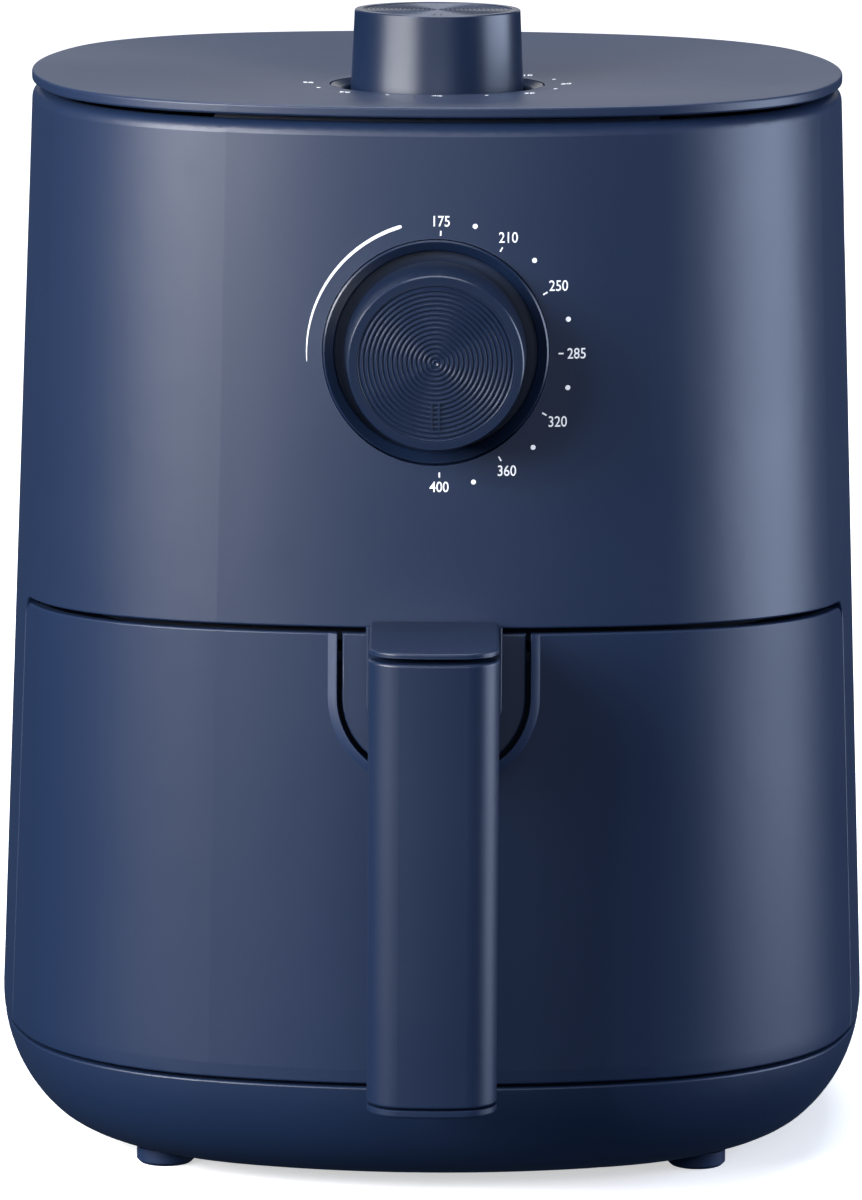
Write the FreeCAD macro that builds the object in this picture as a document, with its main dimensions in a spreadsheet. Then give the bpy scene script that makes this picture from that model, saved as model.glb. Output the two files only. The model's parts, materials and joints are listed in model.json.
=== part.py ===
import FreeCAD, Part
import math
import os
import Sketcher

# A compact air fryer with a pull-out drawer, a timer dial on the lid and a temperature dial on
# the front. Millimetres, +Z up, front towards -Y. While it is built, the body's own upright axis
# is the line x = y = 0; every finished piece is then set back so that the origin lies at the
# middle of the footprint, on the surface that the feet stand on.

Vector = FreeCAD.Vector
doc = FreeCAD.newDocument("air_fryer")
sheet = doc.addObject("Spreadsheet::Sheet", "sizes")
nodes = []
places = {}


class Size:
    """A length that carries its number and the sheet expression behind it."""

    def __init__(self, number, text=None):
        self.number = float(number)
        self.text = text or "(%.6g)" % number

    def join(self, other, sign, result):
        other = size_of(other)
        return Size(result(self.number, other.number), "(%s %s %s)" % (self.text, sign, other.text))

    def __add__(self, other):
        return self.join(other, "+", lambda a, b: a + b)

    def __sub__(self, other):
        return self.join(other, "-", lambda a, b: a - b)

    def __mul__(self, other):
        return self.join(other, "*", lambda a, b: a * b)

    def __truediv__(self, other):
        return self.join(other, "/", lambda a, b: a / b)

    def __neg__(self):
        return Size(0) - self


def size_of(value):
    """Any plain number as a Size."""
    return value if isinstance(value, Size) else Size(value)


def cell(alias, number, note):
    """One driving dimension: a note and a number on a row of the sheet."""
    cell.row += 1
    sheet.set("A%d" % cell.row, note)
    sheet.set("B%d" % cell.row, "%g" % number)
    sheet.setAlias("B%d" % cell.row, alias)
    return Size(number, "sizes." + alias)


cell.row = 0

# ---- driving dimensions -------------------------------------------------------------------

body_half = cell("body_half", 109.6, "half-width of the body where it is widest")
taper = cell("taper", 0.0361, "loss of half-width per mm of height above the widest place")
side_bow = cell("side_bow", 1.6, "radius of a side arc of the plan, in half-widths")
corner_bow = cell("corner_bow", 0.665, "radius of a corner arc of the plan, in half-widths")
base_low = cell("base_low", 4.0, "height of the base's underside above the floor")
round_in = cell("round_in", 21.0, "how far the rounded base draws in")
round_up = cell("round_up", 30.0, "height of the rounded base")
rim_top = cell("rim_top", 262.5, "height of the housing's rim")
rim_round = cell("rim_round", 3.2, "radius of the rim's outer edge")
wall = cell("wall", 2.6, "wall of the plastic shells")
sheet_metal = cell("sheet_metal", 0.8, "thickness of the sheet metal pieces")

low_seam = cell("low_seam", 27.0, "height of the base seam at the body axis")
low_slope = cell("low_slope", 0.03, "rise of the base seam per mm towards the front")
low_gap = cell("low_gap", 0.9, "width of the base seam")
mid_seam = cell("mid_seam", 134.5, "height of the drawer's top seam at the body axis")
mid_slope = cell("mid_slope", 0.064, "rise of the drawer's top seam per mm towards the front")
mid_gap = cell("mid_gap", 1.3, "width of the drawer's top seam")
side_seam = cell("side_seam", 38.0, "distance of the drawer's side seams in front of the axis")
side_gap = cell("side_gap", 0.7, "width of the drawer's side seams")
seam_corner = cell("seam_corner", 5.0, "corner radius of the drawer front, seen from the side")
seam_round = cell("seam_round", 0.5, "radius of the edges along the seams")

lid_half = cell("lid_half", 101.5, "half-width of the lid")
lid_under = cell("lid_under", 263.8, "height of the lid's lower edge")
lid_edge = cell("lid_edge", 2.6, "thickness of the lid's edge")
lid_round = cell("lid_round", 0.6, "radius of the lid's edges")
lid_dish = cell("lid_dish", 4.3, "how far the lid's middle is sunk")
collar_half = cell("collar_half", 97.0, "half-width of the collar that carries the lid")
collar_wall = cell("collar_wall", 2.4, "wall of the collar")
intake_from = cell("intake_from", 50.0, "where the collar's air openings start, from the middle")

dial_height = cell("dial_height", 208.1, "height of the front dial's centre")
dial_ring = cell("dial_ring", 26.9, "outer radius of a dial's ring")
dial_well = cell("dial_well", 24.2, "radius of the well that a knob turns in")
well_depth = cell("well_depth", 4.0, "depth of the well")
knob_high = cell("knob_high", 19.2, "height of a knob above its ring")
knob_foot = cell("knob_foot", 21.7, "radius of a knob at its foot")
knob_head = cell("knob_head", 20.8, "radius of a knob at its top")
knob_face = cell("knob_face", 18.6, "radius of the grooved insert in a knob")
groove_pitch = cell("groove_pitch", 1.13, "distance between the grooves in that insert")
groove_deep = cell("groove_deep", 0.4, "depth of those grooves")
groove_count = 16
dial_shaft = cell("dial_shaft", 3.0, "radius of a dial's shaft")
dial_sink = cell("dial_sink", 0.6, "how far the front ring lies below the body's front line")
lid_ring_height = cell("lid_ring_height", 261.8, "height of the ring in the lid")

handle_half = cell("handle_half", 15.4, "half-width of the handle")
handle_top = cell("handle_top", 143.8, "height of the handle's flat top")
handle_low = cell("handle_low", 32.5, "height of the handle's lower end")
handle_reach = cell("handle_reach", 150.5, "distance of the handle's front from the body axis")
handle_corner = cell("handle_corner", 8.5, "radius of the handle's front corners")
handle_bow = cell("handle_bow", 55.0, "radius of the handle's bowed front")
grip_back = cell("grip_back", 132.0, "distance of the grip's back from the body axis")
grip_split = cell("grip_split", 140.6, "distance of the joint between grip frame and front cover")
arm_low = cell("arm_low", 119.0, "height of the underside of the handle's arm")
cap_thick = cell("cap_thick", 1.2, "thickness of the handle's top cap")
cap_gap = cell("cap_gap", 1.4, "dark joint between top cap and front cover")
lip_high = cell("lip_high", 2.3, "height of the frame's lip below the front cover")
insert_half = cell("insert_half", 22.0, "half-width of the plate that the handle grows from")
insert_low = cell("insert_low", 107.0, "height of that plate's lower edge")
insert_round = cell("insert_round", 18.0, "lower corner radius of that plate")
insert_gap = cell("insert_gap", 1.15, "groove round that plate")
flange_out = cell("flange_out", 0.9, "how far the flange round the handle's arm stands out from it")
flange_deep = cell("flange_deep", 1.6, "depth of that flange")
lip_half = cell("lip_half", 95.2, "half-width of the lip that hangs behind the drawer's top seam")
lip_low = cell("lip_low", 136.9, "height of that lip's lower edge")

pan_low_half = cell("pan_low_half", 80.0, "half-width of the pan at its floor")
pan_top_half = cell("pan_top_half", 84.0, "half-width of the pan at its rim")
pan_low = cell("pan_low", 34.5, "height of the pan's underside")
pan_top = cell("pan_top", 135.5, "height of the pan's rim")
pan_wall = cell("pan_wall", 1.2, "wall of the pan")
tray_half = cell("tray_half", 77.4, "half-width of the crisper tray")
tray_low = cell("tray_low", 44.0, "height of the crisper tray")
panel_half = cell("panel_half", 99.0, "outer half-width of the drawer's inner panel")
liner_half = cell("liner_half", 92.0, "half-width of the liner of the drawer's bay")
liner_low = cell("liner_low", 31.0, "height of the liner's underside")
chamber_half = cell("chamber_half", 90.0, "half-width of the heating chamber")
chamber_low = cell("chamber_low", 137.5, "height of the heating chamber's mouth")
chamber_top = cell("chamber_top", 172.0, "height of the heating chamber's roof")
shield_low = cell("shield_low", 176.0, "height of the heat shield")
shaft_radius = cell("shaft_radius", 3.0, "radius of the motor's shaft")
shaft_run = cell("shaft_run", 0.05, "running clearance round every shaft")

foot_x = cell("foot_x", 65.9, "distance of the feet from the middle, sideways")
foot_y = cell("foot_y", 64.0, "distance of the feet from the body axis, front and back")
foot_radius = cell("foot_radius", 7.2, "radius of a foot")
vent_reach = cell("vent_reach", 116.0, "distance of the rear vent's back from the body axis")

set_back = (handle_reach - vent_reach) / 2
widest = base_low + round_up
doc.recompute()

# ---- drawing helpers ----------------------------------------------------------------------


def bind(thing, prop, value):
    """Ties a property to the sheet."""
    thing.setExpression(prop, size_of(value).text)


def place(thing, x=0, y=0, z=0):
    """Puts a piece at a point measured from the body axis and the floor."""
    places[thing.Name] = size_of(y)
    for axis, value in zip("xyz", (x, y, z)):
        bind(thing, "Placement.Base." + axis, value)
    return thing


def node(thing, label):
    """Declares a finished sub-part, and moves it back with the rest of the object."""
    thing.Label = label
    bind(thing, "Placement.Base.y", places.get(thing.Name, Size(0)) + set_back)
    nodes.append(thing)
    return thing


def half_at(height):
    """Half-width of the body's tapered wall at a height."""
    return body_half - taper * (size_of(height) - widest)


def new_sketch(name, plane, offset, body=None):
    """A sketch parallel to an origin plane, free or in a body. Offset runs along its normal."""
    offset = size_of(offset)
    if body:
        sketch = body.newObject("Sketcher::SketchObject", name)
        face = [f for f in body.Origin.OriginFeatures if f.Role == plane + "_Plane"][0]
        sketch.AttachmentSupport = [(face, "")]
        sketch.MapMode = "FlatFace"
        bind(sketch, "AttachmentOffset.Base.z", offset)
        return sketch
    sketch = doc.addObject("Sketcher::SketchObject", name)
    if plane == "XY":
        bind(sketch, "Placement.Base.z", offset)
    elif plane == "XZ":
        sketch.Placement = FreeCAD.Placement(Vector(), FreeCAD.Rotation(Vector(1, 0, 0), 90))
        bind(sketch, "Placement.Base.y", -offset)
    else:
        turn = FreeCAD.Rotation(Vector(1, 1, 1), 120)
        sketch.Placement = FreeCAD.Placement(Vector(), turn)
        bind(sketch, "Placement.Base.x", offset)
    return sketch


def hold(sketch, kind, place_on, value):
    """Adds a driven dimension. A zero distance becomes a point on the axis."""
    value = size_of(value)
    if kind in ("DistanceX", "DistanceY") and abs(value.number) < 1e-9:
        axis = -2 if kind == "DistanceX" else -1
        sketch.addConstraint(Sketcher.Constraint("PointOnObject", *place_on, axis))
        return
    if kind == "Radius":
        index = sketch.addConstraint(Sketcher.Constraint(kind, *place_on, value.number))
    else:
        index = sketch.addConstraint(Sketcher.Constraint(kind, -1, 1, *place_on, value.number))
    bind(sketch, "Constraints[%d]" % index, value)


def arc(sketch, x, y, radius, start, end):
    """A counter-clockwise arc, angles in degrees."""
    circle = Part.Circle(Vector(x, y, 0), Vector(0, 0, 1), radius)
    return sketch.addGeometry(Part.ArcOfCircle(circle, math.radians(start), math.radians(end)))


def chain(sketch, count, kind):
    """Joins each piece of a closed outline to the next, end to start."""
    for i in range(count):
        sketch.addConstraint(Sketcher.Constraint(kind, i, 2, (i + 1) % count, 1))


def draw_squircle(sketch, half):
    """The body's plan: four shallow side arcs and four corner arcs, all tangent."""
    half = size_of(half)
    side = half * side_bow
    corner = half * corner_bow
    drop = side - half
    gap = side.number - corner.number
    middle = (math.sqrt(2 * gap ** 2 - drop.number ** 2) - drop.number) / 2
    lean = math.degrees(math.atan2(middle, middle + drop.number))
    for quarter in range(4):
        turn = 90 * quarter
        ahead = Vector(math.cos(math.radians(turn)), math.sin(math.radians(turn)), 0)
        aside = Vector(-ahead.y, ahead.x, 0)
        at = ahead * -drop.number
        arc(sketch, at.x, at.y, side.number, turn - lean, turn + lean)
        at = (ahead + aside) * middle
        arc(sketch, at.x, at.y, corner.number, turn + lean, turn + 90 - lean)
    chain(sketch, 8, "Tangent")
    for quarter in range(4):
        kind = ("DistanceX", "DistanceY")[quarter % 2]
        hold(sketch, kind, (2 * quarter, 3), -drop if quarter < 2 else drop)
        hold(sketch, ("DistanceY", "DistanceX")[quarter % 2], (2 * quarter, 3), 0)
        if quarter:
            sketch.addConstraint(Sketcher.Constraint("Equal", 0, 2 * quarter))
            sketch.addConstraint(Sketcher.Constraint("Equal", 1, 2 * quarter + 1))
    hold(sketch, "Radius", (0,), side)
    hold(sketch, "Radius", (1,), corner)
    return sketch


def draw_polygon(sketch, corners):
    """A closed outline of straight lines, every corner held by two dimensions."""
    corners = [(size_of(x), size_of(y)) for x, y in corners]
    for (x0, y0), (x1, y1) in zip(corners, corners[1:] + corners[:1]):
        start = Vector(x0.number, y0.number, 0)
        sketch.addGeometry(Part.LineSegment(start, Vector(x1.number, y1.number, 0)))
    chain(sketch, len(corners), "Coincident")
    for i, (x, y) in enumerate(corners):
        hold(sketch, "DistanceX", (i, 1), x)
        hold(sketch, "DistanceY", (i, 1), y)
    return sketch


def draw_circle(sketch, x, y, radius):
    """A circle held by its centre and radius."""
    x, y, radius = size_of(x), size_of(y), size_of(radius)
    circle = Part.Circle(Vector(x.number, y.number, 0), Vector(0, 0, 1), radius.number)
    index = sketch.addGeometry(circle)
    hold(sketch, "DistanceX", (index, 3), x)
    hold(sketch, "DistanceY", (index, 3), y)
    hold(sketch, "Radius", (index,), radius)
    return sketch


def extrude(name, sketch, length, direction, both=False):
    """A prism of a free sketch along a direction."""
    prism = doc.addObject("Part::Extrusion", name)
    prism.Base = sketch
    prism.DirMode = "Custom"
    prism.Dir = direction
    prism.Solid = True
    prism.Symmetric = both
    bind(prism, "LengthFwd", length)
    return prism


def slab(name, half, low, high):
    """An upright prism with the body's plan."""
    outline = draw_squircle(new_sketch(name + "_plan", "XY", low), half)
    return extrude(name, outline, size_of(high) - low, Vector(0, 0, 1))


def loft(name, sections, ruled=True):
    """A solid through plans given as (half-width, height)."""
    solid = doc.addObject("Part::Loft", name)
    solid.Sections = [draw_squircle(new_sketch("%s_plan" % name, "XY", height), half)
                      for half, height in sections]
    solid.Solid = True
    solid.Ruled = ruled
    return solid


def across(name, corners):
    """A prism right across the object, from an outline of (y, z) corners seen from the side."""
    outline = draw_polygon(new_sketch(name + "_side", "YZ", 0), corners)
    return extrude(name, outline, body_half * 3, Vector(1, 0, 0), both=True)


def box(name, x, y, z):
    """A block between two values on each axis."""
    solid = doc.addObject("Part::Box", name)
    for prop, (low, high) in zip(("Length", "Width", "Height"), (x, y, z)):
        bind(solid, prop, size_of(high) - low)
    return place(solid, x[0], y[0], z[0])


def rod(name, radius, start, length, direction=(0, 0, 1)):
    """A round bar from a point along a direction."""
    solid = doc.addObject("Part::Cylinder", name)
    bind(solid, "Radius", radius)
    bind(solid, "Height", length)
    turn = FreeCAD.Rotation(Vector(0, 0, 1), Vector(*direction))
    solid.Placement = FreeCAD.Placement(Vector(), turn)
    return place(solid, *start)


def ring(name, radius, thick, height):
    """A torus round the body axis."""
    solid = doc.addObject("Part::Torus", name)
    bind(solid, "Radius1", radius)
    bind(solid, "Radius2", thick)
    return place(solid, 0, 0, height)


def cut(name, base, *tools):
    """The base without each of the tools."""
    for number, tool in enumerate(tools):
        solid = doc.addObject("Part::Cut", "%s_%d" % (name, number))
        solid.Base = base
        solid.Tool = tool
        base = solid
    return base


def common(name, base, tool):
    """What two solids share."""
    solid = doc.addObject("Part::Common", name)
    solid.Base = base
    solid.Tool = tool
    return solid


def join(name, *solids):
    """Several solids as one."""
    solid = doc.addObject("Part::MultiFuse", name)
    solid.Shapes = list(solids)
    return solid


def group(name, solids):
    """Separate solids of one kind kept together, such as a set of screws."""
    bundle = doc.addObject("Part::Compound", name)
    bundle.Links = list(solids)
    return bundle


def fillet(name, base, radius, choose):
    """Rounds the edges that a test picks by their middle point."""
    doc.recompute()
    picked = []
    for number, edge in enumerate(base.Shape.Edges, 1):
        middle = edge.valueAt((edge.FirstParameter + edge.LastParameter) / 2)
        if choose(middle):
            picked.append(number)
    solid = doc.addObject("Part::Fillet", name)
    solid.Base = base
    solid.Edges = [(number, radius.number, radius.number) for number in picked]
    return solid


def new_body(name):
    return doc.addObject("PartDesign::Body", name)


def pad(body, name, sketch, length, flip=False, middle=False):
    feature = body.newObject("PartDesign::Pad", name)
    feature.Profile = sketch
    bind(feature, "Length", length)
    feature.Reversed = flip
    feature.Midplane = middle
    return feature


def pocket(body, name, sketch, length, flip=False, middle=False):
    feature = body.newObject("PartDesign::Pocket", name)
    feature.Profile = sketch
    bind(feature, "Length", length)
    feature.Reversed = flip
    feature.Midplane = middle
    return feature


def turned(name, corners):
    """A body turned about its own Z axis, from an outline of (radius, height) corners."""
    body = new_body(name)
    outline = draw_polygon(new_sketch(name + "_profile", "XZ", 0, body), corners)
    feature = body.newObject("PartDesign::Revolution", name + "_turn")
    feature.Profile = outline
    feature.ReferenceAxis = (outline, ["V_Axis"])
    feature.Angle = 360
    return body


def polar(body, name, feature, count):
    """Repeats a feature round the body's Z axis."""
    pattern = body.newObject("PartDesign::PolarPattern", name)
    pattern.Originals = [feature]
    upright = [f for f in body.Origin.OriginFeatures if f.Role == "Z_Axis"][0]
    pattern.Axis = (upright, [""])
    pattern.Angle = 360
    pattern.Occurrences = count
    body.Tip = pattern
    return pattern


# ---- the body's outer and inner form ------------------------------------------------------


def body_form(name, inset, top):
    """The rounded base under a tapered wall, both drawn in by the inset.

    The wall's taper fades out down the rounded base, so that the two meet without a crease."""
    reach = round_in - inset
    rise = round_up - inset
    sections = []
    for angle in range(90, -1, -15):
        down = math.sin(math.radians(angle))
        flare = taper * rise * (down * (1 - down))
        sections.append((body_half - round_in + reach * math.cos(math.radians(angle)) + flare,
                         widest - rise * down))
    foot = loft(name + "_foot", sections, ruled=False)
    trunk = loft(name + "_trunk", [(body_half - inset, widest), (half_at(top) - inset, top)])
    return join(name, foot, trunk)


ledge_under = rim_top - 3
outer_sharp = body_form("outer_sharp", 0, rim_top)
outer = fillet("outer", outer_sharp, rim_round, lambda p: abs(p.z - rim_top.number) < 0.01)
inner = body_form("inner", wall, ledge_under)

far = body_half * 1.3
near_edge = -far


def low_line(y, shift):
    """Height of the base seam at a depth, moved up or down by part of its width."""
    return low_seam - low_slope * y + low_gap * shift


def mid_line(y, shift):
    """Height of the drawer's top seam at a depth."""
    return mid_seam - mid_slope * y + mid_gap * shift


def front_region(name, edge, top_shift, low_shift):
    """The part of the skin that the drawer's front takes, with its rounded rear corner."""
    region = across(name + "_sharp", [
        (near_edge, low_line(near_edge, low_shift)),
        (edge, low_line(edge, low_shift)),
        (edge, mid_line(edge, top_shift)),
        (near_edge, mid_line(near_edge, top_shift))])
    top = mid_line(edge, top_shift).number
    return fillet(name, region, seam_corner,
                  lambda p: abs(p.y - edge.number) < 0.01 and abs(p.z - top) < 0.01)


below_seam = across("below_seam", [
    (near_edge, -5), (far, -5), (far, low_line(far, -0.5)), (near_edge, low_line(near_edge, -0.5))])
above_seam = across("above_seam", [
    (near_edge, low_line(near_edge, 0.5)), (far, low_line(far, 0.5)),
    (far, rim_top + 20), (near_edge, rim_top + 20)])


def on_seam(point, heights):
    """True for a point on the outer surface at the height of one of the seams."""
    return (math.hypot(point.x, point.y) > body_half.number * 0.8
            and min(abs(point.z - height.number) for height in heights) < 0.03)


drawer_region = front_region("drawer_region", -side_seam - side_gap / 2, -0.5, 0.5)
drawer_opening = front_region("drawer_opening", -side_seam + side_gap / 2, 0.5, -6)

# ---- the dials' frames --------------------------------------------------------------------

# The front dial's axis is level, though the wall round it leans back. A piece of a dial is drawn
# round its own Z axis with the ring's plane at zero, and then put on the lid or on the front.
front_turn = FreeCAD.Rotation(Vector(1, 0, 0), 90)
front_out = front_turn.multVec(Vector(0, 0, 1))
front_dial_y = -(half_at(dial_height) - dial_sink)


def on_lid(body):
    return place(body, 0, 0, lid_ring_height)


def on_front(body):
    body.Placement = FreeCAD.Placement(Vector(), front_turn)
    return place(body, 0, front_dial_y, dial_height)


# ---- shells -------------------------------------------------------------------------------


def make_base():
    """The rounded tub under the seam, with a post above each foot and a row of air slots."""
    tub = fillet("tub_rounded", common("tub_blank", outer, below_seam), seam_round,
                 lambda p: on_seam(p, [low_line(p.y, -0.5)]))
    tub = cut("tub", tub, inner)
    feet = [(sx, sy) for sx in (-1, 1) for sy in (-1, 1)]
    posts = [rod("post", 5.5, (foot_x * sx, foot_y * sy, base_low + 1), deck_low - base_low - 1)
             for sx, sy in feet]
    bores = [rod("post_bore", 1.6, (foot_x * sx, foot_y * sy, base_low - 2), 40) for sx, sy in feet]
    slots = [box("base_slot", (-30, 30), (Size(8 * i) - 1.5, Size(8 * i) + 1.5), (0, base_low + 6))
             for i in range(-3, 4)]
    node(cut("base_shell", join("tub_and_posts", tub, *posts), group("base_cuts", bores + slots)),
         "base_shell")
    deck = slab("deck_plate", 104.3, deck_low, deck_low + 1.5)
    node(cut("base_deck_bored", deck, group("deck_bores", [
        rod("deck_bore", 1.6, (foot_x * sx, foot_y * sy, 20), 15) for sx, sy in feet])), "base_deck")
    for sx, sy in feet:
        name = "foot_%s_%s" % ("front" if sy < 0 else "rear", "left" if sx < 0 else "right")
        foot = turned(name, [(1.7, 2.2), (3.6, 2.2), (3.6, 0), (foot_radius - 0.8, 0),
                             (foot_radius, 0.8), (foot_radius, base_low), (1.7, base_low)])
        node(place(foot, foot_x * sx, foot_y * sy, 0), name)
    screws = [join("base_screw", rod("base_head", 3.1, (foot_x * sx, foot_y * sy, 0.9), 1.3),
                   rod("base_shank", 1.5, (foot_x * sx, foot_y * sy, 2), 25)) for sx, sy in feet]
    node(group("base_screws", screws), "base_screws")


def make_housing():
    """The tall shell: back, sides, the front above the drawer, and the rim under the lid."""
    shell = cut("shell_blank", common("shell_whole", outer, above_seam), drawer_opening)
    rear = -side_seam.number + side_gap.number / 2
    corner = seam_corner.number
    shell = fillet("shell_rounded", shell, seam_round, lambda p: on_seam(
        p, [low_line(p.y, 0.5), mid_line(p.y, 0.5)]) or (
            abs(p.x) > 80 and rear - corner - 0.1 < p.y < rear + 0.1 and p.z < 150))
    ledge_mouth = slab("ledge_mouth", collar_half + 0.3, rim_top - 12, rim_top + 5)
    dial_hole = rod("dial_hole", dial_ring + 0.25, (0, front_dial_y, dial_height), 40, tuple(front_out))
    dial_hole_back = rod("dial_hole_back", dial_ring + 0.25, (0, front_dial_y, dial_height), 12,
                         tuple(front_out * -1))
    exhaust = box("exhaust_hole", (-27.3, 27.3), (60, far), (145.7, 170.3))
    gland_hole = rod("gland_hole", 6.1, (0, 90, gland_height), 40, (0, 1, 0))
    node(cut("upper_housing", shell, inner, ledge_mouth, dial_hole, dial_hole_back, exhaust,
             gland_hole), "upper_housing")
    cover = cut("cover_ring", slab("cover_out", 102.2, 143.4, 144.9), slab("cover_in", 90.8, 140, 150))
    lip = cut("cover_lip_ring", slab("lip_outside", lip_half, lip_low, 143.5),
              slab("lip_inside", lip_half - 1.7, 135, 150))
    cover = common("cover_half", join("cover_and_lip", cover, lip),
                   box("cover_front", (-far, far), (near_edge, -36), (135, 150)))
    node(cover, "underside_cover")


def make_lid():
    """The dished lid on its collar. Air enters between the collar's front and back walls."""
    plate = fillet("lid_plate_rounded", slab("lid_plate", lid_half, lid_under, lid_under + lid_edge),
                   lid_round, lambda p: True)
    belly = loft("lid_belly", [(31, lid_under - lid_dish), (lid_half - 2.5, lid_under)])
    bowl = loft("lid_bowl", [(29, lid_under + lid_edge - lid_dish),
                             (lid_half - 1.5, lid_under + lid_edge)])
    spots = [(x, y) for x in (-30, 30) for y in (-86, 86)]
    posts = [rod("lid_post", 3.5, (x, y, tab_top), lid_under - tab_top + 0.5) for x, y in spots]
    bores = [rod("lid_post_bore", 1.5, (x, y, tab_top - 1), 7) for x, y in spots]
    recess = rod("lid_recess", dial_ring + 0.2, (0, 0, lid_ring_height - 1.05), 9)
    well = rod("lid_well", 25.8, (0, 0, 250), 20)
    dished = cut("lid_dished", join("lid_blank", plate, belly, *posts), bowl, recess, well,
                 group("lid_bores", bores))
    node(dished, "top_lid")
    wall_ring = slab("collar_wall_ring", collar_half, collar_low, lid_under - 0.5)
    flange = slab("collar_flange", collar_half + 1.6, collar_low, collar_low + 2)
    hollow = slab("collar_hollow", collar_half - collar_wall, collar_low - 5, lid_under + 5)
    windows = []
    for side in (-1, 1):
        top, low = lid_under + 5, collar_low + 4.5
        start = intake_from * side
        outline = [(start, top), (start + Size(7 * side), low), (body_half * side, low),
                   (body_half * side, top)]
        sketch = draw_polygon(new_sketch("window_front", "XZ", 0), outline)
        windows.append(extrude("window", sketch, far * 2, Vector(0, 1, 0), both=True))
    tabs = [box("collar_tab", (x - 5, x + 5), (y - 4.5, y + 9) if y > 0 else (y - 9, y + 4.5),
                (tab_top - 2.5, tab_top - 0.05)) for x, y in spots]
    tabs = common("tabs_trimmed", group("tabs", tabs),
                  slab("tab_limit", collar_half - collar_wall + 0.5, collar_low - 5, lid_under))
    holes = [rod("tab_hole", 1.7, (x, y, tab_top - 5), 8) for x, y in spots]
    ring_wall = cut("collar_ring", join("collar_blank", wall_ring, flange), hollow, *windows)
    node(cut("intake_collar", join("collar_tabbed", ring_wall, tabs), group("tab_holes", holes)),
         "intake_collar")
    screws = [join("lid_screw", rod("lid_head", 3.0, (x, y, tab_top - 4.4), 1.8),
                   rod("lid_shank", 1.4, (x, y, tab_top - 3), 8)) for x, y in spots]
    node(group("lid_screws", screws), "lid_screws")


# ---- dials --------------------------------------------------------------------------------


def grooved_disc():
    """Half section of the insert in a knob, with rings of narrow grooves in its face."""
    top = knob_high - 0.15
    corners = [(0, knob_high - 1.2), (knob_face, knob_high - 1.2), (knob_face, top)]
    for i in range(groove_count):
        outer_edge = knob_face - 0.2 - groove_pitch * i
        corners += [(outer_edge, top), (outer_edge - 0.4, top - groove_deep),
                    (outer_edge - 0.8, top)]
    return corners + [(0, top - 0.3)]


def make_dial(prefix, put, skirt, box_name, half_x, half_y, deep):
    """Ring, knob, grooved insert and shaft, and the box behind that the shaft turns."""
    floor = -well_depth
    bezel = turned(prefix + "_bezel", [
        (4.6, floor - 1.2), (dial_ring - 1.3, floor - 1.2), (dial_ring - 1.3, -skirt),
        (dial_ring, -skirt), (dial_ring, -0.1), (dial_ring - 0.4, 0.25), (dial_well + 0.3, -1.0),
        (dial_well, -1.4), (dial_well, floor), (4.6, floor)])
    node(put(bezel), prefix + "_bezel")
    knob = turned(prefix + "_knob", [
        (knob_foot - 1.8, -1), (knob_foot, -1), (knob_head, knob_high - 0.3),
        (knob_head - 0.3, knob_high), (knob_face + 0.1, knob_high), (knob_face + 0.1, knob_high - 1.2),
        (dial_shaft, knob_high - 1.2), (dial_shaft, 2), (6.5, 2), (6.5, knob_high - 3.2),
        (knob_head - 1.9, knob_high - 3.2)])
    node(put(knob), prefix + "_knob")
    face = turned(prefix + "_knob_face", grooved_disc())
    for side in (-1, 1):
        rib = draw_polygon(new_sketch(prefix + "_rib", "XY", knob_high - 0.8, face), [
            (side * 0.85 - 0.2, -15.7), (side * 0.85 + 0.2, -15.7), (side * 0.85 + 0.2, -9.5),
            (side * 0.85 - 0.2, -9.5)])
        pad(face, prefix + "_rib_pad", rib, 0.8)
    node(put(face), prefix + "_knob_face")
    shaft = turned(prefix + "_shaft", [
        (0, floor - 12), (dial_shaft, floor - 12), (dial_shaft, knob_high - 1.25),
        (0, knob_high - 1.25)])
    node(put(shaft), prefix + "_shaft")
    case = new_body(box_name)
    top = floor - 4
    outline = draw_polygon(new_sketch(box_name + "_plan", "XY", top, case),
                           [(-half_x, -half_y), (half_x, -half_y), (half_x, half_y), (-half_x, half_y)])
    pad(case, box_name + "_case", outline, deep, flip=True)
    for x in (-half_x + 6, half_x - 6):
        post = draw_circle(new_sketch(box_name + "_post_plan", "XY", top, case), x, 0, 3)
        pad(case, box_name + "_post", post, 2.8)
    doc.recompute()
    solid_volume = case.Shape.Volume
    hole = draw_circle(new_sketch(box_name + "_hole", "XY", top, case), 0, 0, dial_shaft + shaft_run)
    pocket(case, box_name + "_bore", hole, 9)
    doc.recompute()
    if case.Shape.Volume > solid_volume - 200:
        raise RuntimeError("the shaft's bore in %s cuts nothing" % box_name)
    node(put(case), box_name)


# ---- drawer -------------------------------------------------------------------------------


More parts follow.
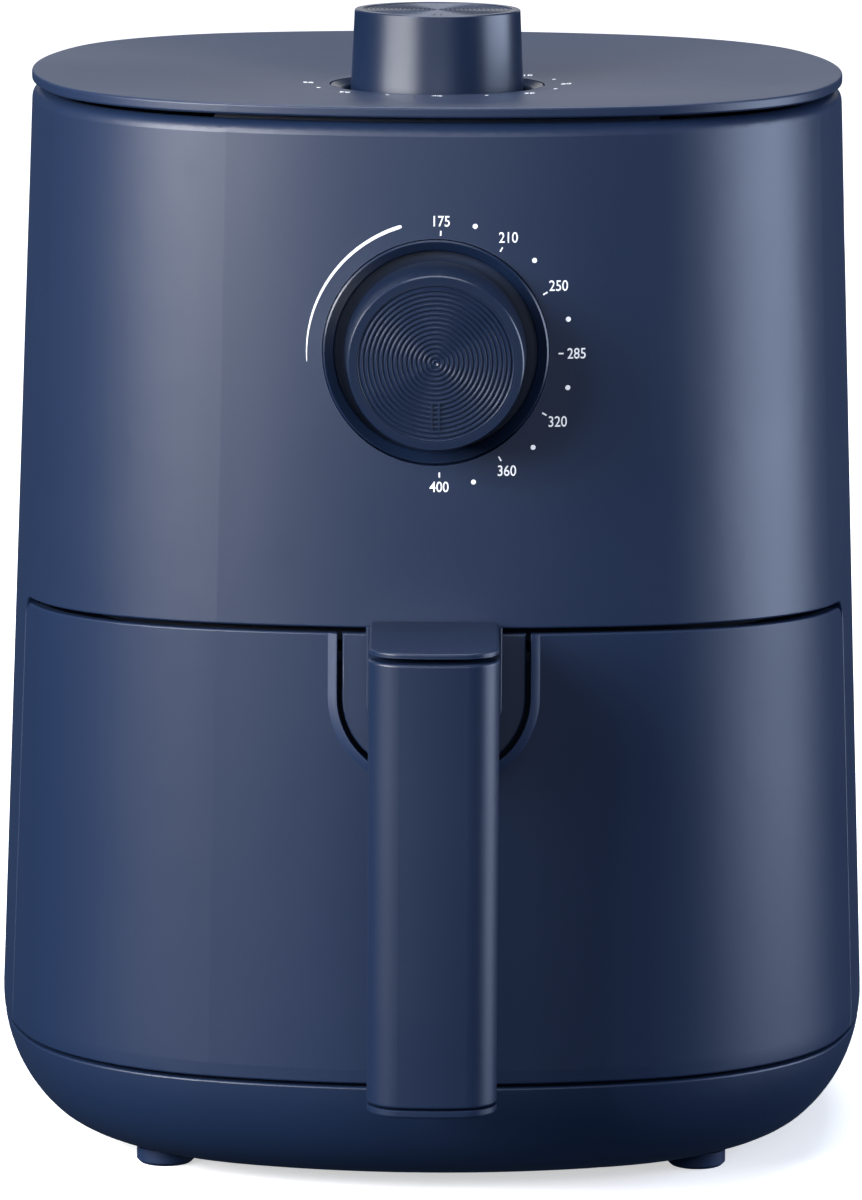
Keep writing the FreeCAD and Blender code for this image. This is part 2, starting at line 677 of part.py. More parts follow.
def tongue(name, half, low, corner, depth, length):
    """An upright tongue with a round lower end, as a prism that runs back from a depth."""
    sketch = new_sketch(name + "_outline", "XZ", depth)
    half, low, corner = size_of(half), size_of(low), size_of(corner)
    high = 160.0
    inside = half - corner
    centre = low + corner
    points = [Vector(-half.number, high, 0), Vector(-half.number, centre.number, 0),
              Vector(-inside.number, low.number, 0), Vector(inside.number, low.number, 0),
              Vector(half.number, centre.number, 0), Vector(half.number, high, 0)]
    sketch.addGeometry(Part.LineSegment(points[0], points[1]))
    arc(sketch, -inside.number, centre.number, corner.number, 180, 270)
    sketch.addGeometry(Part.LineSegment(points[2], points[3]))
    arc(sketch, inside.number, centre.number, corner.number, 270, 360)
    sketch.addGeometry(Part.LineSegment(points[4], points[5]))
    sketch.addGeometry(Part.LineSegment(points[5], points[0]))
    for i in range(4):
        sketch.addConstraint(Sketcher.Constraint("Tangent", i, 2, i + 1, 1))
    sketch.addConstraint(Sketcher.Constraint("Coincident", 4, 2, 5, 1))
    sketch.addConstraint(Sketcher.Constraint("Coincident", 5, 2, 0, 1))
    for line in (0, 4):
        sketch.addConstraint(Sketcher.Constraint("Vertical", line))
    for line in (2, 5):
        sketch.addConstraint(Sketcher.Constraint("Horizontal", line))
    hold(sketch, "DistanceX", (0, 1), -half)
    hold(sketch, "DistanceX", (4, 2), half)
    hold(sketch, "DistanceY", (0, 1), high)
    hold(sketch, "DistanceY", (2, 1), low)
    hold(sketch, "Radius", (1,), corner)
    hold(sketch, "Radius", (3,), corner)
    return extrude(name, sketch, length, Vector(0, 1, 0))


def handle_outline(name, offset, back, trim=0):
    """The handle's plan, back edge and bowed front with round corners, as a free sketch."""
    sketch = new_sketch(name, "XY", offset)
    half = handle_half - trim
    corner = handle_corner
    bow = handle_bow
    front = handle_reach - trim
    rise = bow.number - corner.number
    spread = math.asin((half.number - corner.number) / rise)
    low = -(front.number - bow.number) - rise * math.cos(spread)
    tip = math.degrees(spread)
    side = half.number - corner.number
    sketch.addGeometry(Part.LineSegment(Vector(-half.number, -back.number, 0),
                                        Vector(-half.number, low, 0)))
    arc(sketch, -side, low, corner.number, 180, 270 - tip)
    arc(sketch, 0, -(front.number - bow.number), bow.number, 270 - tip, 270 + tip)
    arc(sketch, side, low, corner.number, 270 + tip, 360)
    sketch.addGeometry(Part.LineSegment(Vector(half.number, low, 0), Vector(half.number, -back.number, 0)))
    sketch.addGeometry(Part.LineSegment(Vector(half.number, -back.number, 0),
                                        Vector(-half.number, -back.number, 0)))
    for i in range(4):
        sketch.addConstraint(Sketcher.Constraint("Tangent", i, 2, i + 1, 1))
    sketch.addConstraint(Sketcher.Constraint("Coincident", 4, 2, 5, 1))
    sketch.addConstraint(Sketcher.Constraint("Coincident", 5, 2, 0, 1))
    sketch.addConstraint(Sketcher.Constraint("Vertical", 0))
    sketch.addConstraint(Sketcher.Constraint("Vertical", 4))
    hold(sketch, "DistanceX", (0, 1), -half)
    hold(sketch, "DistanceX", (4, 2), half)
    hold(sketch, "DistanceY", (0, 1), -back)
    hold(sketch, "DistanceY", (4, 2), -back)
    hold(sketch, "Radius", (1,), corner)
    hold(sketch, "Radius", (3,), corner)
    hold(sketch, "Radius", (2,), bow)
    hold(sketch, "DistanceY", (2, 3), -(front - bow))
    return sketch


def make_drawer_front():
    """The drawer's outer skin with the tongue-shaped opening that the handle's plate fills."""
    groove = tongue("insert_opening", insert_half + insert_gap, insert_low - insert_gap,
                    insert_round + insert_gap, 130, 60)
    rear = -side_seam.number - side_gap.number / 2
    corner = seam_corner.number
    front = cut("front_grooved", common("front_blank", outer, drawer_region), groove)
    front = fillet("front_groove_rounded", front, Size(0.3), lambda p: (
        p.y < -90 and abs(p.x) < insert_half.number + insert_gap.number + 0.1
        and 100 < p.z < mid_line(p.y, -0.5).number - 0.1))
    front = fillet("front_rounded", front, seam_round, lambda p: on_seam(
        p, [low_line(p.y, 0.5), mid_line(p.y, -0.5)]) or (
            abs(p.x) > 80 and rear - corner - 0.1 < p.y < rear + 0.1))
    node(cut("drawer_front", front, inner), "drawer_front")
    screws = [handle_screw_height(i) for i in range(2)]
    bores = group("handle_bores", [rod("handle_bore", 1.6, (0, -130, z), 60, (0, 1, 0)) for z in screws])
    plate = common("insert_blank", common("insert_band", outer, drawer_region),
                   tongue("insert_tongue", insert_half, insert_low, insert_round, 130, 60))
    plate = fillet("insert_rounded", plate, seam_round, lambda p: (
        p.y < -90 and (abs(p.x) < insert_half.number + 0.1)))
    node(cut("handle_bracket", plate, inner, bores), "handle_bracket")
    return bores


def handle_screw_height(number):
    return handle_top - 14 - 8 * number


def make_handle(bores):
    """A grip that hangs free below its arm, with a front cover and a top cap."""
    back_plate = half_at(handle_top) + 1.2
    cap_low = handle_top - cap_thick
    side = across("grip_side", [
        (-back_plate, cap_low - 0.02), (-handle_reach - 5, cap_low - 0.02),
        (-handle_reach - 5, handle_low), (-grip_back, handle_low), (-grip_back, arm_low),
        (-back_plate, arm_low)])
    hollow_corner = fillet("grip_rounded", side, Size(9),
                           lambda p: abs(p.y + grip_back.number) < 0.1
                           and abs(p.z - arm_low.number) < 0.1)
    plan = extrude("grip_plan", handle_outline("grip_outline", 0, back_plate), 160, Vector(0, 0, 1))
    blank = common("grip_blank", hollow_corner, plan)
    blank = fillet("grip_low_rounded", blank, Size(0.7), lambda p: abs(p.z - handle_low.number) < 0.01)
    cover_low = handle_low + lip_high
    cover_high = cap_low - cap_gap
    seat = box("cover_seat", (-20, 20), (-handle_reach - 5, -grip_split), (cover_low - 0.4, 150))
    flange = tongue("arm_flange_blank", handle_half + flange_out, arm_low - flange_out, Size(5),
                    back_plate + flange_deep, flange_deep)
    flange = common("arm_flange", flange, box("flange_room", (-30, 30), (near_edge, 0),
                                              (100, cap_low - 0.02)))
    flange = fillet("arm_flange_rounded", flange, Size(0.6), lambda p: (
        abs(p.y + back_plate.number + flange_deep.number) < 0.01 and p.z < cap_low.number - 0.1))
    node(cut("handle_frame", join("frame_whole", blank, flange), seat, bores), "handle_frame")
    cover = extrude("cover_blank", handle_outline("cover_outline", cover_low, grip_split + 0.02),
                    cover_high - cover_low, Vector(0, 0, 1))
    edge = fillet("handle_cover", cover, Size(0.7), lambda p: p.y < -grip_split.number - 2
                  and min(abs(p.z - cover_low.number), abs(p.z - cover_high.number)) < 0.01)
    node(edge, "handle_front_cover")
    cap = extrude("cap_blank", handle_outline("cap_outline", cap_low, back_plate, 0.2),
                  cap_thick, Vector(0, 0, 1))
    cap = fillet("cap_edge", cap, Size(0.5), lambda p: p.y < -back_plate.number - 2
                 and abs(p.z - handle_top.number) < 0.01)
    node(cap, "handle_top_cap")
    inside = -(half_at(handle_top - 14) - wall)
    screws = []
    for i in range(2):
        height = handle_screw_height(i)
        head = rod("handle_head", 3.2, (0, inside + 0.15, height), 2, (0, 1, 0))
        shank = rod("handle_shank", 1.5, (0, inside - 16, height), 17, (0, 1, 0))
        screws.append(join("handle_screw", head, shank))
    node(group("handle_screws", screws), "handle_screws")


def make_pan():
    """The cooking pan, the plastic shell that carries it, and the crisper tray inside."""
    bores = group("pan_bores", [rod("pan_bore", 1.7, (0, -110, z), 40, (0, 1, 0)) for z in (78, 100)])
    outside = loft("pan_outside", [(pan_low_half, pan_low), (pan_top_half, pan_top)])
    outside = fillet("pan_out_round", outside, Size(9), lambda p: abs(p.z - pan_low.number) < 0.01)
    hollow = loft("pan_inside", [(pan_low_half - pan_wall, pan_low + pan_wall),
                                 (pan_top_half - pan_wall, pan_top + 0.5)])
    hollow = fillet("pan_in_round", hollow, Size(7.8),
                    lambda p: abs(p.z - pan_low.number - pan_wall.number) < 0.01)
    rim = slab("pan_rim", pan_top_half + 2.2, pan_top - 1.2, pan_top)
    node(cut("pan", join("pan_blank", outside, rim), hollow, bores), "pan")

    panel_low, panel_high = 33.0, 133.2
    front_cut = box("panel_zone", (-far, far), (near_edge, -39), (0, 300))
    flange_zone = box("flange_zone", (-far, far), (-42.5, -39), (0, 300))
    panel_in = slab("panel_in", panel_half - 2.5, 0, 300)
    curved = common("panel_curve", slab("panel_out", panel_half, panel_low, panel_high), front_cut)
    flange = common("panel_flange", slab("flange_out", 103.2, panel_low, panel_high), flange_zone)
    node(cut("drawer_inner_panel", join("panel_blank", curved, flange), panel_in, bores),
         "drawer_inner_panel")
    deck = common("deck_blank", slab("deck_out", 103.0, panel_high + 0.1, pan_top), front_cut)
    node(cut("drawer_deck", deck, slab("deck_hole", pan_top_half + 2.6, 120, 150)), "drawer_deck")

    block = box("bracket_block", (-16, 16), (-95.5, -70), (68, 110))
    solid_pan = loft("pan_solid", [(pan_low_half + 0.05, pan_low), (pan_top_half + 0.05, pan_top)])
    node(cut("pan_bracket", block, solid_pan, bores), "pan_bracket")
    screws = [join("pan_screw", rod("pan_head", 3.4, (0, -101.4, z), 2.2, (0, 1, 0)),
                   rod("pan_shank", 1.6, (0, -100, z), 21, (0, 1, 0))) for z in (78, 100)]
    node(group("pan_screws", screws), "pan_screws")

    tray = new_body("crisper_tray")
    plate = draw_squircle(new_sketch("tray_plan", "XY", tray_low, tray), tray_half)
    pad(tray, "tray_plate", plate, 1.2)
    for number in range(1, 6):
        spot = draw_circle(new_sketch("tray_hole_plan", "XY", tray_low + 3, tray), 12.5 * number, 0, 2.8)
        hole = pocket(tray, "tray_hole", spot, 6)
        polar(tray, "tray_holes", hole, 6 * number)
    node(place(tray), "crisper_tray")
    tray_stand = [rod("tray_stand", 4, (45 * sx, 45 * sy, pan_low + pan_wall + 0.35),
                      tray_low - pan_low - pan_wall - 0.35) for sx in (-1, 1) for sy in (-1, 1)]
    node(group("tray_feet", tray_stand), "tray_feet")


# ---- hot side -----------------------------------------------------------------------------


def make_bay():
    """The sheet metal bay that the drawer runs in, its two glide rails and the safety switch."""
    bay_out = slab("bay_out", liner_half, liner_low, chamber_low)
    bay_in = slab("bay_in", liner_half - sheet_metal, liner_low + sheet_metal, chamber_low + 5)
    mouth = box("bay_mouth", (-far, far), (near_edge, -36), (0, 200))
    node(cut("cavity_liner", bay_out, bay_in, mouth), "cavity_liner")
    rails = [box("rail", (x - 4, x + 4), (-34, 62), (liner_low + sheet_metal, pan_low - 0.4))
             for x in (-45, 45)]
    node(group("drawer_rails", rails), "drawer_rails")
    case = box("switch_case", (92.6, 98.8), (-34, -16), (112, 128))
    bore = rod("switch_bore", shaft_run + 1.2, (95.7, -36, 120), 9, (0, 1, 0))
    node(cut("interlock_switch", case, bore), "interlock_switch")
    node(rod("switch_plunger", 1.2, (95.7, -38.5, 120), 8.5, (0, 1, 0)), "switch_plunger")


def make_chamber():
    """The heating chamber over the pan, with its element, guard, duct and heat shield."""
    roof = chamber_top
    outside = slab("chamber_out", chamber_half, chamber_low, roof + sheet_metal)
    flange = slab("chamber_flange", chamber_half + 3, chamber_low, chamber_low + sheet_metal)
    hollow = slab("chamber_in", chamber_half - sheet_metal, chamber_low - 5, roof)
    eye = rod("chamber_eye", 6, (0, 0, roof - 5), 20)
    leads = [rod("lead_hole", 3.7, (x, lead_y, roof - 5), 20) for x in (-14, 14)]
    probe_hole = rod("probe_hole", 1.3, (0, probe_y, roof - 5), 20)
    exhaust = box("chamber_exhaust", (-25, 25), (60, 95), (148, 168))
    node(cut("heat_chamber", join("chamber_blank", outside, flange), hollow, exhaust,
             group("chamber_holes", [eye, probe_hole] + leads)), "heat_chamber")

    duct_out = box("duct_out", (-27, 27), (80, 99.8), (146, 170))
    duct_in = box("duct_in", (-25, 25), (70, 110), (148, 168))
    node(cut("exhaust_duct", duct_out, duct_in, slab("duct_end", chamber_half + 0.05, 140, 175)),
         "exhaust_duct")

    rings = [ring("guard_ring", radius, 1, guard_height) for radius in (18, 36, 54, 72)]
    reach = chamber_half - sheet_metal - 1.5
    spokes = [rod("guard_spoke_x", 1.1, (-reach, 0, guard_height), reach * 2, (1, 0, 0)),
              rod("guard_spoke_y", 1.1, (0, -reach, guard_height), reach * 2, (0, 1, 0))]
    node(join("element_guard", *(rings + spokes)), "element_guard")

    coils = [ring("coil", radius, 3.2, coil_height) for radius in (50, 64)]
    bridge = rod("coil_bridge", 3.1, (0, -64, coil_height), 14, (0, 1, 0))
    posts = [rod("coil_lead", 2.9, (x, lead_y, coil_height), shield_low + 14 - coil_height)
             for x in (-14, 14)]
    node(join("heating_element", bridge, *(coils + posts)), "heating_element")
    clamps = []
    for turn in (90, 210, 330):
        angle = math.radians(turn + 120)
        clamp = box("clamp", (51, 66), (-0.6, 0.6), (coil_height + 3.2, roof))
        clamp.Placement.Rotation = FreeCAD.Rotation(Vector(0, 0, 1), turn + 120)
        place(clamp, 51 * math.cos(angle), 51 * math.sin(angle), coil_height + 3.2)
        clamps.append(clamp)
    node(group("element_clamps", clamps), "element_clamps")

    shield = slab("shield_plate", 97, shield_low, shield_low + sheet_metal)
    shield_holes = [rod("shield_eye", 8, (0, 0, shield_low - 5), 12),
                    rod("shield_probe", 1.3, (0, probe_y, shield_low - 5), 12)]
    shield_holes += [rod("shield_lead", 5, (x, lead_y, shield_low - 5), 12) for x in (-14, 14)]
    node(cut("heat_shield_bored", shield, group("shield_holes", shield_holes)), "heat_shield")

    bulb = rod("bulb", 2.5, (-30, probe_y, 163), 60, (1, 0, 0))
    tube = rod("capillary", 0.9, (0, probe_y, 163), 29)
    node(join("thermostat_probe", bulb, tube), "thermostat_probe")
    fuse_body = rod("thermal_fuse", 2.2, (46, 42, shield_low + sheet_metal + 2.2), 14, (1, 0, 0))
    node(fuse_body, "thermal_fuse")
    terminal = box("terminal_block", (-62, -32), (52, 64), (shield_low + sheet_metal, shield_low + 12))
    node(terminal, "terminal_block")


# ---- motor and fans -----------------------------------------------------------------------


def make_fan(name, hub_low, height, outer_radius, count, web_thick):
    """A hub and web with upright radial blades, pressed on the motor's shaft."""
    body = turned(name, [(shaft_radius, hub_low), (outer_radius, hub_low),
                         (outer_radius, hub_low + web_thick), (8, hub_low + web_thick),
                         (8, hub_low + height), (shaft_radius, hub_low + height)])
    blade = draw_polygon(new_sketch(name + "_blade_plan", "XY", hub_low, body),
                         [(12, -0.7), (outer_radius - 1, -0.7), (outer_radius - 1, 0.7), (12, 0.7)])
    feature = pad(body, name + "_blade", blade, height)
    polar(body, name + "_blades", feature, count)
    node(place(body), name)


def make_motor():
    """A shaded-pole motor over the heat shield; one shaft carries both fans."""
    shield_top = shield_low + sheet_metal
    shaft = turned("motor_shaft", [(0, 149), (shaft_radius, 149), (shaft_radius, 220), (0, 220)])
    node(place(shaft), "motor_shaft")
    make_fan("hot_air_fan", 156.0, 8.0, 47.0, 9, 0.8)
    make_fan("cooling_fan", 180.0, 8.0, 43.0, 7, 1.2)
    nut = turned("fan_nut", [(shaft_radius, 152), (5.5, 152), (5.5, 155.9), (shaft_radius, 155.9)])
    node(place(nut), "fan_nut")
    rotor = turned("motor_rotor", [(shaft_radius, 197), (16, 197), (16, 213), (shaft_radius, 213)])
    node(place(rotor), "motor_rotor")

    stack = box("stator_stack", (-28, 28), (-28, 28), (196, 214))
    bore = rod("stator_bore", 16.5, (0, 0, 190), 30)
    stator = cut("motor_stator", stack, bore, box("stator_notch", (-21, 21), (16, 22), (190, 220)))
    node(stator, "motor_stator")
    coil = box("winding_out", (-19, 19), (20.0, 36), (192.5, 217.5))
    core = box("winding_core", (-21, 21), (21.99, 28.01), (195.9, 214.1))
    node(cut("motor_winding", coil, core, box("winding_face", (-30, 30), (15, 22.0), (190, 220))),
         "motor_winding")

    arms = [box("arm_x", (-54, 54), (-7, 7), (191.5, 193)), box("arm_y", (-7, 7), (-54, 18), (191.5, 193))]
    posts = [rod("mount_post", 3, (x, y, shield_top), Size(191.6) - shield_top)
             for x, y in ((-50, 0), (50, 0), (0, -50))]
    seat = rod("mount_seat", 7, (0, 0, 185), 12)
    node(cut("motor_bracket", join("bracket_blank", *(arms + posts)), seat), "motor_bracket")
    legs = [box("strap_leg", (x - 1, x + 1), (-10, 10), (214, 216.6)) for x in (-24, 24)]
    strap = box("strap_bar", (-25, 25), (-10, 10), (216.5, 218))
    node(cut("motor_top_strap", join("strap_blank", strap, *legs), rod("strap_eye", 7, (0, 0, 210), 12)),
         "motor_top_strap")
    inside = shaft_radius + shaft_run
    bushes = [turned("bush", [(inside, low), (7, low), (7, low + 4), (inside, low + 4)])
              for low in (190.5, 215.0)]
    node(group("motor_bearings", bushes), "motor_bearings")


# ---- back ---------------------------------------------------------------------------------


def make_back():
    """The exhaust grille on the back and the gland that the supply cable would enter by."""
    block = box("vent_block", (-42, 42), (90, vent_reach), (130, 186))
    block = fillet("vent_block_round", block, Size(4), lambda p: abs(p.y - vent_reach.number) < 0.01)
    hollow = box("vent_hollow", (-39.4, 39.4), (80, vent_reach - 2.4), (132.6, 183.4))
    slots = [box("vent_slot", (-34, 34), (vent_reach - 8, vent_reach + 5),
                 (137 + 5.2 * i, 140 + 5.2 * i)) for i in range(9)]
    node(cut("rear_vent_cover", block, outer_sharp, hollow, group("vent_slots", slots)), "rear_vent_cover")
    low = half_at(gland_height) - 5
    gland = new_body("cord_gland")
    stem = draw_circle(new_sketch("gland_stem", "XZ", -low, gland), 0, 0, 6)
    pad(gland, "gland_stem_pad", stem, 10.5, flip=True)
    flange = draw_circle(new_sketch("gland_flange", "XZ", -(low + 5.4), gland), 0, 0, 9)
    pad(gland, "gland_flange_pad", flange, 1.8, flip=True)
    doc.recompute()
    full = gland.Shape.Volume
    bore = draw_circle(new_sketch("gland_bore", "XZ", 0, gland), 0, 0, 3.6)
    pocket(gland, "gland_bore_cut", bore, 300, middle=True)
    doc.recompute()
    if gland.Shape.Volume > full - 300:
        raise RuntimeError("the gland's bore cuts nothing")
    node(place(gland, 0, 0, gland_height), "cord_gland")


deck_low = Size(28.9)
tab_top = Size(257.0)
collar_low = Size(251.0)
gland_height = Size(58.0)
guard_height = Size(141.2)
coil_height = Size(149.0)
lead_y = math.sqrt(64.0 ** 2 - 14.0 ** 2)
probe_y = -80.0

make_base()
make_housing()
make_lid()
make_dial("timer", on_lid, 1.0, "timer_movement", 23, 20, 25)
make_dial("temp", on_front, 3.6, "thermostat_body", 18, 15, 20)
handle_bores = make_drawer_front()
make_handle(handle_bores)
make_pan()
make_bay()
make_chamber()
make_motor()
make_back()
doc.recompute()

# ---- checks and files ---------------------------------------------------------------------

for thing in doc.Objects:
    if "Invalid" in thing.State or "Error" in thing.State:
        raise RuntimeError("%s failed to build" % thing.Name)
if len({thing.Label for thing in nodes}) != len(nodes) or len(nodes) > 60:
    raise RuntimeError("the sub-parts need labels of their own, and there are %d" % len(nodes))
os.makedirs("parts", exist_ok=True)
for thing in nodes:
    shape = thing.Shape
    if shape.isNull() or not shape.isValid() or not shape.Solids:
        raise RuntimeError("%s has no valid solid" % thing.Label)
    shape.exportStep("parts/%s.step" % thing.Label)
box_all = nodes[0].Shape.BoundBox
for thing in nodes:
    box_all.add(thing.Shape.BoundBox)
print("%d sub-parts, size %.1f x %.1f x %.1f mm, from z %.2f, y %.2f to %.2f" % (
    len(nodes), box_all.XLength, box_all.YLength, box_all.ZLength, box_all.ZMin, box_all.YMin,
    box_all.YMax))
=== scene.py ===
import json
import math

import bpy
from mathutils import Matrix, Vector


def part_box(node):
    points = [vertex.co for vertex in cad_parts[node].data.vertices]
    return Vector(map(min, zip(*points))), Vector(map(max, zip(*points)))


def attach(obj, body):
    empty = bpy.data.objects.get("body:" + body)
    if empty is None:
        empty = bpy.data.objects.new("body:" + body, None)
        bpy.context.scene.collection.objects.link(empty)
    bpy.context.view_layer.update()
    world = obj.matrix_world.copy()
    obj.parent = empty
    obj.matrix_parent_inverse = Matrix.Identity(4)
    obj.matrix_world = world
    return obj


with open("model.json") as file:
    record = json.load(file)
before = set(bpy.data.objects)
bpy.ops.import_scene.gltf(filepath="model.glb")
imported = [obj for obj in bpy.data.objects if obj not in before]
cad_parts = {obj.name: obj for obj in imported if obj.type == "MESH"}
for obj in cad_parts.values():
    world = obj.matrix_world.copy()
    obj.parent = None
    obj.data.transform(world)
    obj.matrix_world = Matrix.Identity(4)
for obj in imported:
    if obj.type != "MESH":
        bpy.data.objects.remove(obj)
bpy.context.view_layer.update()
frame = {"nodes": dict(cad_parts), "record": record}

MM = 0.001


def middle(node, axis):
    """Middle of a node's box along one axis."""
    low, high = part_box(node)
    return (low[axis] + high[axis]) / 2


# The body's upright axis, about which the motor turns, and the planes of the two dials' rings.
AXIS_Y = middle("motor_shaft", 1)
LID_RING_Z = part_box("timer_bezel")[1][2]
FRONT_DIAL_Z = middle("temp_bezel", 2)

# The plan of the body: two arcs of 1.6 and 0.665 half-widths that meet at a fixed slope.
SIDE_BOW = 1.6
CORNER_BOW = 0.665
CORNER_CENTRE = 0.28917
ARC_MEETING = 0.5369


# ---- camera, stage and lights --------------------------------------------------------------

def aim(thing, place, target, roll=0.0):
    place = Vector(place)
    turn = (Vector(target) - place).to_track_quat("-Z", "Y").to_matrix()
    turn = turn @ Matrix.Rotation(math.radians(roll), 3, "Z")
    thing.matrix_world = Matrix.Translation(place) @ turn.to_4x4()
    bpy.context.scene.collection.objects.link(thing)
    return thing


def make_camera():
    """A long lens about 1.7 m in front, looking down by about ten degrees."""
    off_axis = -0.0008
    away, height, target_height = 1.730, 0.4313, 0.1305
    roll = 0.33
    data = bpy.data.cameras.new("camera")
    data.lens = 207.0
    data.clip_end = 60
    camera = bpy.data.objects.new("camera", data)
    aim(camera, (off_axis, AXIS_Y - away, height), (off_axis, AXIS_Y, target_height), roll)
    bpy.context.scene.camera = camera


def soft_box(name, azimuth, elevation, distance, size, radiance, tint=(1, 1, 1)):
    """A soft box round the body. Azimuth 0 is in front and runs anticlockwise from above."""
    body_middle = 0.14
    data = bpy.data.lights.new(name, "AREA")
    data.shape = "RECTANGLE"
    data.size, data.size_y = size
    data.energy = radiance * math.pi * size[0] * size[1]
    data.color = tint
    turn, rise = math.radians(azimuth), math.radians(elevation)
    target = Vector((0, AXIS_Y, body_middle))
    out = Vector((math.sin(turn) * math.cos(rise), -math.cos(turn) * math.cos(rise), math.sin(rise)))
    return aim(bpy.data.objects.new(name, data), target + out * distance, target)


def make_light():
    """Soft boxes at the left and right, with weaker ones in front, above and behind."""
    world = bpy.data.worlds.new("studio")
    bpy.context.scene.world = world
    world.use_nodes = True
    tree = world.node_tree
    path = tree.nodes.new("ShaderNodeLightPath")
    mix = tree.nodes.new("ShaderNodeMix")
    mix.data_type = "RGBA"
    mix.inputs["A"].default_value = (0.024, 0.039, 0.072, 1)
    mix.inputs["B"].default_value = (1, 1, 1, 1)
    tree.links.new(path.outputs["Is Camera Ray"], mix.inputs["Factor"])
    tree.links.new(mix.outputs["Result"], tree.nodes["Background"].inputs["Color"])
    soft_box("key_left", -53, 20, 1.5, (1.22, 0.65), 18.5, (0.99, 0.99, 1.02))
    soft_box("side_right", 91, 6, 1.6, (1.25, 1.1), 5.4, (0.78, 0.92, 1.22))
    soft_box("front_fill", 4, 20, 2.6, (1.3, 0.8), 4.3, (0.92, 0.98, 1.12))
    soft_box("top", 180, 80, 2.0, (1.6, 1.6), 5.2, (0.92, 0.98, 1.10))
    soft_box("back_sweep", 180, 13, 2.6, (1.7, 0.6), 0.9)


def make_floor():
    """A pale floor for the camera alone, so that its light does not fill the body's underside."""
    mesh = bpy.data.meshes.new("floor")
    reach = 14.0
    corners = [(-reach, -reach, 0), (reach, -reach, 0), (reach, reach, 0), (-reach, reach, 0)]
    mesh.from_pydata(corners, [], [(0, 1, 2, 3)])
    floor = bpy.data.objects.new("floor", mesh)
    bpy.context.scene.collection.objects.link(floor)
    floor.visible_glossy = False
    floor.visible_diffuse = False
    material = bpy.data.materials.new("floor_paper")
    material.use_nodes = True
    shader = material.node_tree.nodes["Principled BSDF"]
    shader.inputs["Base Color"].default_value = (0.92, 0.92, 0.92, 1)
    shader.inputs["Roughness"].default_value = 0.95
    shader.inputs["Specular IOR Level"].default_value = 0.0
    # The floor also glows: painted light, 0.55 within 0.15 m of its origin and rising to full white by
    # 0.7 m.
    shader.inputs["Emission Strength"].default_value = 1.0
    where = material.node_tree.nodes.new("ShaderNodeTexCoord")
    distance = material.node_tree.nodes.new("ShaderNodeVectorMath")
    distance.operation = "LENGTH"
    glow = material.node_tree.nodes.new("ShaderNodeMapRange")
    for name, number in (("From Min", 0.15), ("From Max", 0.7), ("To Min", 0.55), ("To Max", 1.0)):
        glow.inputs[name].default_value = number
    material.node_tree.links.new(where.outputs["Object"], distance.inputs[0])
    material.node_tree.links.new(distance.outputs["Value"], glow.inputs["Value"])
    material.node_tree.links.new(glow.outputs["Result"], shader.inputs["Emission Color"])
    mesh.materials.append(material)


# ---- materials -----------------------------------------------------------------------------

